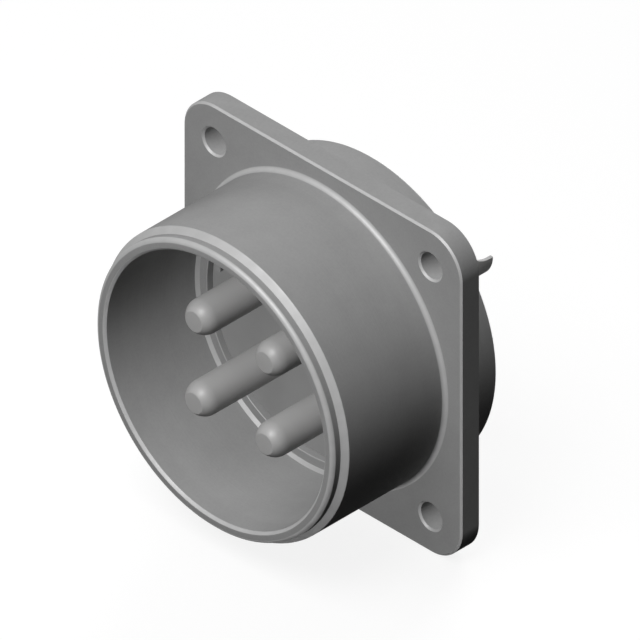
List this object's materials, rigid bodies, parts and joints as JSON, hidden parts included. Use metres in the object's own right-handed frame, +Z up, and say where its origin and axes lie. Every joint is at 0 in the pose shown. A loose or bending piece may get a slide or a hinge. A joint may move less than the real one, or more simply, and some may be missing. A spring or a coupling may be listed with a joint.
{
  "type": "circular connector receptacle",
  "caption": "Square-flange panel receptacle of a round power connector: keyed metal shell, insulating insert, domed pin contacts in front and solder cups behind.",
  "frame": {"origin": "centre of the four flange holes, on the flange's back (panel) face", "axes": "+Y backwards through the panel, from the pins to the solder cups; +Z up through the key; +X to the right, seen from the front (pin) side"},
  "size_m": [0.0572, 0.0455, 0.0572],
  "materials": {
    "shell": "satin grey plating over machined aluminium alloy",
    "insert": "grey hard moulded insulator",
    "contact": "silver plating over turned copper alloy",
    "washer": "grey fibre sheet",
    "ring": "bright spring steel"
  },
  "bodies": {
    "root": {"receptacle_shell": "shell", "front_insert": "insert", "rear_insert": "insert", "retaining_washer": "washer", "retaining_ring": "ring", "contact_a": "contact", "contact_b": "contact", "contact_c": "contact", "contact_d": "contact"}
  },
  "joints": []
}
